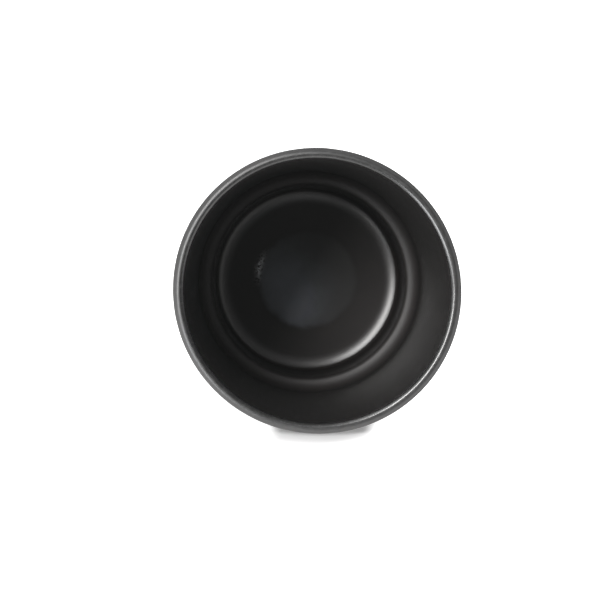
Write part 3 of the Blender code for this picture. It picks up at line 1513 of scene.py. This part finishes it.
@dataclass(frozen=True)
class FiredClay(Finish):
    """Bare stoneware: dark, dry and gritty, with pale and rusty grains in it."""

    name: str = "bare_stoneware"
    colour: Colour = (0.085, 0.072, 0.062)
    toast: Colour = (0.120, 0.088, 0.066)
    toast_blots: float = 180.0
    toast_step: Step = (0.40, 0.65)
    cover: float = 0.8
    grains: Specks = Specks(0.55 * MILLIMETRE, 0.42, 0.16, 0.5, (0.300, 0.262, 0.220))
    holes: Specks = Specks(0.80 * MILLIMETRE, 0.20, 0.35, 1.2, (0.025, 0.020, 0.016))
    grit_blots: float = 3600.0
    grit_step: Step = (0.3, 0.7)
    grit_rough: Step = (0.80, 0.95)
    relief: float = 0.05 * MILLIMETRE

    def dress(self, s: Surface) -> None:
        """Lays toasted blots, pale grains and small holes into the clay, and grit over it.

        Args:
            s: the surface.
        """
        w = s.wiring
        blots = w.noise(s.place, self.toast_blots, detail=4.0, rough=0.6)
        colour = w.blend(w.ramp(blots, *self.toast_step), self.colour, self.toast)
        grains, holes = s.specks(self.grains), s.specks(self.holes)
        colour = w.blend(grains * self.cover, colour, self.grains.colour)
        colour = w.blend(holes * self.cover, colour, self.holes.colour)
        grit = w.noise(s.place, self.grit_blots, detail=3.0, rough=0.7)
        s.feed("Base Color", colour)
        s.feed("Roughness", w.ramp(grit, *self.grit_step, *self.grit_rough))
        s.bump(grit + grains * self.grains.depth - holes * self.holes.depth, self.relief)


# Pieces


@dataclass
class Workshop:
    """What every piece is made with."""

    shape: MugShape
    tree: TurningTree
    grit: GritTree
    effects: Effects
    longest: float = 0.6 * MILLIMETRE

    @property
    def coarse(self) -> float:
        """The longest side where nothing wavers."""
        return 1.5 * self.longest

    @property
    def fine(self) -> float:
        """The longest side over the lip."""
        return self.longest / 4


@dataclass
class Piece:
    """A piece of the mug: the node that it stands for, its slot in the record, how it is turned, and
    the finish."""

    name: str
    node: str
    slot: Slot
    turning: Turning
    finish: Finish

    def outline(self, shop: Workshop) -> Outline:
        """The outline that is turned. Each piece has its own."""
        raise NotImplementedError

    def build(self, shop: Workshop) -> bpy.types.Object:
        """Turns the piece, dresses it and fits it.

        Args:
            shop: what it is made with.

        Returns:
            The piece.
        """
        material = self.finish.make(shop.effects)
        return self.fit(shop.tree.turn(self.outline(shop), self.turning, material, self.name))

    def fit(self, piece: bpy.types.Object) -> bpy.types.Object:
        """Puts the piece on its body in place of its node.

        Args:
            piece: the finished object.

        Returns:
            The same object.
        """
        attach(piece, BODY)
        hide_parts(self.node)
        LOG.info("%s stands for %s: %d faces", piece.name, self.node, len(piece.data.polygons))
        return piece


@dataclass
class ClayBody(Piece):
    """The fired clay under all the coats. It shows at the foot ring, where it is gritty."""

    name: str = "fired_clay_body"
    node: str = "clay_body"
    slot: Slot = Slot.BARE_CLAY
    turning: Turning = Turning(uneven=0.0, ring_depth=0.0)
    finish: Finish = FiredClay()
    grit_finish: Finish = FiredClay(
        "foot_grit",
        colour=(0.11, 0.09, 0.075),
        toast=(0.20, 0.16, 0.12),
        grains=FiredClay.grains._replace(share=0.5),
    )
    grain: float = 0.16 * MILLIMETRE
    grain_spacing: float = 0.34 * MILLIMETRE
    grit_seed: int = 11

    def outline(self, shop: Workshop) -> Outline:
        """The clay's surface, a coat's depth under the finished one.

        Args:
            shop: what it is made with.

        Returns:
            The outline.
        """
        shape = shop.shape
        whole = shape.inside() + shape.lip() + shape.outside() + shape.underside()
        return Outline.closed(traced(set_back(whole, shape.coat), shop.coarse))

    def build(self, shop: Workshop) -> bpy.types.Object:
        """Makes the clay, and the grit on its bare band.

        Args:
            shop: what it is made with.

        Returns:
            The clay.
        """
        body = super().build(shop)
        self.build_grit(shop, body)
        return body

    def build_grit(self, shop: Workshop, body: bpy.types.Object) -> bpy.types.Object:
        """Lays the grit that stands out of the bare clay.

        Args:
            shop: what it is made with.
            body: the clay body.

        Returns:
            The grit as one piece.
        """
        values = {
            "Lowest": 2.0 * self.grain,
            "Highest": shop.shape.glaze_line,
            "Spacing": self.grain_spacing,
            "Grain": self.grain,
            "Seed": self.grit_seed,
            "Material": self.grit_finish.make(shop.effects),
        }
        piece = modifier_mesh(body.data.copy(), shop.grit.tree, values, "foot_grit")
        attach(piece, BODY)
        LOG.info("%s: %d faces", piece.name, len(piece.data.polygons))
        return piece


@dataclass
class InnerLining(Piece):
    """The coat that lines the inside, with the drag mark on the edge of the floor's pad."""

    name: str = "inner_lining"
    node: str = "inner_glaze"
    slot: Slot = Slot.SATIN_GLAZE
    turning: Turning = Turning(
        segments=360,
        mark_height=0.26 * MILLIMETRE,
        mark_radius=16.6 * MILLIMETRE,
        mark_width=0.90 * MILLIMETRE,
        mark_turn=math.radians(165.0),
        mark_spread=0.26,
    )
    finish: Finish = SatinGlaze("lining_satin_glaze", thin_step=(0.5, 1.4), marks=FloorMarks())
    mark_reach: float = 1.6 * MILLIMETRE
    mark_side: float = 0.15 * MILLIMETRE

    def outline(self, shop: Workshop) -> Outline:
        """From the middle of the floor to below the lip, cut up finely around the drag mark.

        Args:
            shop: what it is made with.

        Returns:
            The outline.
        """
        shape = shop.shape
        coat = Outline.coat([*shape.inside(), shape.lining_end()], shape.coat, shop.coarse)
        return coat.refined(self.turning.mark_radius, self.mark_reach, self.mark_side)


@dataclass
class LipCoat(Piece):
    """The grey coat over the lip."""

    name: str = "lip_coat"
    node: str = "lip_glaze"
    slot: Slot = Slot.LIP_GLAZE
    turning: Turning = Turning(segments=384, edge_wander=0.035 * MILLIMETRE)
    finish: Finish = LipGlaze()

    def outline(self, shop: Workshop) -> Outline:
        """From the end of the lining over the lip to the start of the outer coat.

        Args:
            shop: what it is made with.

        Returns:
            The outline.
        """
        shape = shop.shape
        corners = [shape.lining_end(), *shape.lip(), shape.skirt_end()]
        return Outline.coat(corners, shape.coat, shop.fine)


@dataclass
class OuterCoat(Piece):
    """The coat on the outside. It ends over the foot in a rolled edge that wanders."""

    name: str = "outer_coat"
    node: str = "outer_glaze"
    slot: Slot = Slot.SATIN_GLAZE
    turning: Turning = Turning(
        ring_depth=0.009 * MILLIMETRE,
        line_wander=0.45 * MILLIMETRE,
        line_bead=0.10 * MILLIMETRE,
    )
    finish: Finish = SatinGlaze(
        "outer_satin_glaze", ior=1.56, pits=Glaze.pits._replace(share=0.06)
    )
    roll: float = 0.5 * MILLIMETRE
    line_reach: float = 3.0 * MILLIMETRE

    def outline(self, shop: Workshop) -> Outline:
        """From below the rim down to the glaze line over the foot.

        Args:
            shop: what it is made with.

        Returns:
            The outline.
        """
        shape = shop.shape
        shoulder, waist, foot = shape.outside()
        end = at_height(waist, foot, shape.glaze_line)
        corners = [shape.skirt_end(), shoulder, waist, end]
        coat = Outline.rolled(corners, shape.coat, self.roll, shop.longest)
        return coat.slipping(end.place, end.place - waist.place, self.line_reach)


@dataclass
class RecessCoat(Piece):
    """The coat in the recess under the floor."""

    name: str = "recess_coat"
    node: str = "base_glaze"
    slot: Slot = Slot.SATIN_GLAZE
    turning: Turning = Turning(line_wander=0.25 * MILLIMETRE, line_bead=0.06 * MILLIMETRE, seed=19)
    finish: Finish = SatinGlaze(
        "recess_satin_glaze", ior=1.56, pits=Glaze.pits._replace(share=0.14)
    )
    roll: float = 0.4 * MILLIMETRE
    line_reach: float = 1.6 * MILLIMETRE

    def outline(self, shop: Workshop) -> Outline:
        """From halfway up the recess's side to its middle.

        Args:
            shop: what it is made with.

        Returns:
            The outline.
        """
        shape = shop.shape
        inner, corner, middle = shape.underside()
        start = at_height(inner, corner, shape.recess_depth / 2)
        corners = [start, corner, middle]
        coat = Outline.rolled(corners, shape.coat, self.roll, shop.longest, at_start=True)
        return coat.slipping(start.place, start.place - corner.place, self.line_reach)


# The studio


def bearing(turn: float, lean: float) -> Vector:
    """A direction, from how it lies in the photograph.

    Args:
        turn: degrees clockwise from the right, as seen from above.
        lean: degrees away from straight up.

    Returns:
        The direction.
    """
    a, b = math.radians(turn), math.radians(lean)
    return Vector((math.cos(a) * math.sin(b), -math.sin(a) * math.sin(b), math.cos(b)))


@dataclass(frozen=True)
class Softbox:
    """An upright softbox that faces the mug's mouth."""

    name: str
    turn: float
    lean: float
    width: float
    height: float
    radiance: float
    colour: Colour = WHITE
    distance: float = 1.2
    aim: Vector = Vector((0.0, 0.0, 0.07))

    def build(self) -> bpy.types.Object:
        """Makes the lamp.

        Returns:
            The lamp.
        """
        lamp = bpy.data.lights.new(self.name, "AREA")
        lamp.shape = "RECTANGLE"
        lamp.size = self.width
        lamp.size_y = self.height
        lamp.energy = self.radiance * math.pi * self.width * self.height
        lamp.color = self.colour
        way = bearing(self.turn, self.lean)
        level = Vector((0.0, 0.0, 1.0)).cross(way).normalized()
        stand = placed(self.name, lamp)
        stand.location = self.aim + way * self.distance
        stand.rotation_euler = Matrix((level, way.cross(level), way)).transposed().to_euler()
        LOG.info("softbox %s", self.name)
        return stand


@dataclass(frozen=True)
class Glow:
    """A soft patch of light in the studio's surroundings."""

    turn: float
    lean: float
    radiance: float
    tightness: float
    colour: Colour = WHITE

    def onto(self, w: Wiring, way: Signal, light: Signal) -> Signal:
        """Adds the glow to the light of the surroundings.

        Args:
            w: the world.
            way: the direction that is looked in.
            light: the light so far.

        Returns:
            The light with the glow.
        """
        middle = tuple(bearing(self.turn, self.lean))
        near = w.vector_math("DOT_PRODUCT", way, middle, output="Value")
        lobe = w.math("EXPONENT", (near - 1.0) * self.tightness) * self.radiance
        return w.vector_math("ADD", light, w.vector_math("SCALE", self.colour, lobe))


@dataclass(frozen=True)
class Floor:
    """The pale floor. The camera sees it as full white, except under the mug and in a short strip
    in front, where the shadow is left. The strip bows, and fades over a core and a fringe."""

    size: float = 6.0
    drop: float = 1e-4
    white: float = 0.80
    mottle: float = 0.99
    mottle_blots: float = 30.0
    lift: float = 0.075
    in_gloss: float = 0.08
    shade_centre: Vector = Vector((0.0035, -0.0039))
    shade_radius: float = 0.0450
    shade_edge: float = 0.0040
    strip_centre: float = 0.0052
    strip_reach: float = 0.0157
    strip_fade: Step = (-0.0025, 0.0040)
    strip_line: float = -0.0524
    bow: float = 0.0007
    bow_reach: float = 0.0130
    core_share: float = 0.42
    core_fade: Step = (-0.0006, 0.0011)
    fringe_fade: Step = (-0.0045, -0.0003)

    def build(self) -> bpy.types.Object:
        """Makes the floor.

        Returns:
            The floor.
        """
        half = self.size / 2
        mesh = bpy.data.meshes.new("studio_floor")
        corners = ((-half, -half), (half, -half), (half, half), (-half, half))
        mesh.from_pydata([(x, y, -self.drop) for x, y in corners], [], [(0, 1, 2, 3)])
        mesh.materials.append(self.material())
        floor = placed("studio_floor", mesh)
        return floor

    def material(self) -> bpy.types.Material:
        """A matt white that is lifted to the photograph's white for the camera and in reflections.

        Returns:
            The material.
        """
        material = bpy.data.materials.new("studio_white")
        material.use_nodes = True
        w = Wiring(material.node_tree)
        grain = w.noise(w.coordinates("Object"), self.mottle_blots)
        straight, mirrored = w.sight()
        seen = w.math("MAXIMUM", straight, mirrored * self.in_gloss)
        feeds = {
            "Base Color": w.ramp(grain, 0.0, 1.0, self.white * self.mottle, self.white),
            "Roughness": 1.0,
            "Specular IOR Level": 0.0,
            "Emission Color": opaque(WHITE),
            "Emission Strength": seen * (self.bleach(w) * (1.0 - self.lift) + self.lift),
        }
        for name, value in feeds.items():
            w.feed(material.node_tree.nodes["Principled BSDF"].inputs[name], value)
        return material

    def bleach(self, w: Wiring) -> Signal:
        """Where the floor is exposed to full white.

        Args:
            w: the floor's material.

        Returns:
            1 where it is white, 0 in the shadow's core.
        """
        x, y, _ = w.split(w.coordinates("Object"))
        away = w.length(x - self.shade_centre.x, y - self.shade_centre.y)
        disc = w.fall(away, self.shade_radius - self.shade_edge, self.shade_radius)
        aside = w.math("ABSOLUTE", x - self.strip_centre)
        strip = w.fall(aside, *(self.strip_reach + fade for fade in self.strip_fade))
        bow = w.math("POWER", aside / self.bow_reach, 2.0) * self.bow
        ahead = y - self.strip_line - bow
        core = w.ramp(ahead, *self.core_fade) * self.core_share
        front = core + w.ramp(ahead, *self.fringe_fade) * (1.0 - self.core_share)
        near = w.math("LESS_THAN", y, 0.0)
        return 1.0 - w.math("MAXIMUM", disc, strip * front * near)


@dataclass(frozen=True)
class Surroundings:
    """The world: a dim ceiling with a dark opening overhead and soft glows, and the pale backdrop
    low down, which the camera and gloss see as white."""

    sky: float = 0.13
    opening: float = 0.12
    opening_edge: float = math.radians(27.0)
    opening_core: float = math.radians(12.0)
    backdrop_rise: Step = (0.20, 0.60)
    backdrop_side: Step = (-0.45, 0.25)
    glows: tuple[Glow, ...] = (
        Glow(86.0, 83.0, 5.2, 26.0, (1.0, 0.97, 0.95)),
        Glow(184.0, 54.0, 2.0, 30.0),
        Glow(240.0, 54.0, 3.2, 30.0),
        Glow(88.0, 38.0, 0.45, 30.0, (0.97, 0.985, 1.0)),
        Glow(40.0, 80.0, 2.6, 20.0, (1.0, 0.98, 0.97)),
        Glow(266.0, 44.0, 0.4, 12.0, (0.97, 0.985, 1.0)),
    )

    def build(self) -> None:
        """Makes the world."""
        world = bpy.data.worlds.new("studio_surroundings")
        bpy.context.scene.world = world
        world.use_nodes = True
        w = Wiring(world.node_tree)
        way = w.vector_math("NORMALIZE", w.coordinates("Generated"))
        _, across, rise = w.split(way)
        edge, core = math.cos(self.opening_edge), math.cos(self.opening_core)
        over = w.ramp(rise, edge, core, 1.0, self.opening)
        light = w.vector_math("SCALE", (self.sky,) * 3, over)
        for glow in self.glows:
            light = glow.onto(w, way, light)
        straight, mirrored = w.sight()
        low = w.fall(rise, *self.backdrop_rise) * w.fall(across, *self.backdrop_side)
        shown = w.math("MAXIMUM", straight, mirrored * low)
        colour = w.blend(shown, light, WHITE)
        w.feed(world.node_tree.nodes["Background"].inputs["Color"], colour)


@dataclass(frozen=True)
class Studio:
    """The floor, the surroundings, the lamps and the camera."""

    floor: Floor = Floor()
    surroundings: Surroundings = Surroundings()
    sun_turn: float = 270.0
    sun_lean: float = 10.0
    sun_spread: float = math.radians(4.0)
    sun_strength: float = 3.0
    camera_place: Vector = Vector((-0.0281, 0.0322, 0.7874))
    camera_aim: Vector = Vector((-0.00517, -0.00259, 0.0887))
    camera_lens: float = 142.25
    camera_film: float = 36.0
    camera_nearest: float = 0.01
    softboxes: tuple[Softbox, ...] = (
        Softbox("key_softbox", 212.0, 34.0, 0.88, 0.36, 13.2, (1.0, 0.99, 0.98)),
        Softbox("side_softbox", 146.0, 53.0, 0.64, 0.70, 5.6, (0.97, 0.985, 1.0)),
    )

    def build(self) -> None:
        """Sets up the whole studio. The softboxes spare the floor, which the overhead lamp lights,
        and that lamp lights nothing else."""
        floor = self.floor.build()
        self.surroundings.build()
        spared = self.linked("lit_without_floor", floor, "EXCLUDE")
        for softbox in self.softboxes:
            softbox.build().light_linking.receiver_collection = spared
        lit = self.linked("lit_floor", floor, "INCLUDE")
        self.build_sun().light_linking.receiver_collection = lit
        self.build_camera()
        bpy.context.scene.view_settings.view_transform = "Standard"

    @staticmethod
    def linked(name: str, floor: bpy.types.Object, state: str) -> bpy.types.Collection:
        """A collection that lamps take their receivers from.

        Args:
            name: its name.
            floor: the floor.
            state: "INCLUDE" where it lights only the floor, "EXCLUDE" where all but the floor.

        Returns:
            The collection.
        """
        receivers = bpy.data.collections.new(name)
        receivers.objects.link(floor)
        for entry in receivers.collection_objects:
            entry.light_linking.link_state = state
        return receivers

    def build_sun(self) -> bpy.types.Object:
        """Makes the overhead lamp that throws the mug's soft shadow on the floor.

        Returns:
            The lamp.
        """
        lamp = bpy.data.lights.new("overhead_lamp", "SUN")
        lamp.energy = self.sun_strength
        lamp.angle = self.sun_spread
        stand = placed("overhead_lamp", lamp)
        way = bearing(self.sun_turn, self.sun_lean)
        stand.rotation_euler = way.to_track_quat("Z", "Y").to_euler()
        return stand

    def build_camera(self) -> None:
        """Places the camera: it looks into the mouth, a little from the upper left."""
        camera = bpy.data.cameras.new("photo_camera")
        camera.lens = self.camera_lens
        camera.sensor_width = self.camera_film
        camera.clip_start = self.camera_nearest
        stand = placed("photo_camera", camera)
        stand.location = self.camera_place
        ahead = (self.camera_aim - self.camera_place).normalized()
        right = ahead.cross(Vector((0.0, 1.0, 0.0))).normalized()
        turned = Matrix((right, right.cross(ahead), -ahead)).transposed()
        stand.rotation_euler = turned.to_euler()
        bpy.context.scene.camera = stand


def main() -> None:
    """Sets up the studio, and makes the mug piece by piece."""
    logging.basicConfig(level=logging.INFO, format="%(name)s: %(message)s")
    Studio().build()
    shop = Workshop(MugShape(), TurningTree(), GritTree(), Effects())
    for piece in (ClayBody(), InnerLining(), LipCoat(), OuterCoat(), RecessCoat()):
        piece.build(shop)


if __name__ == "__main__":
    main()
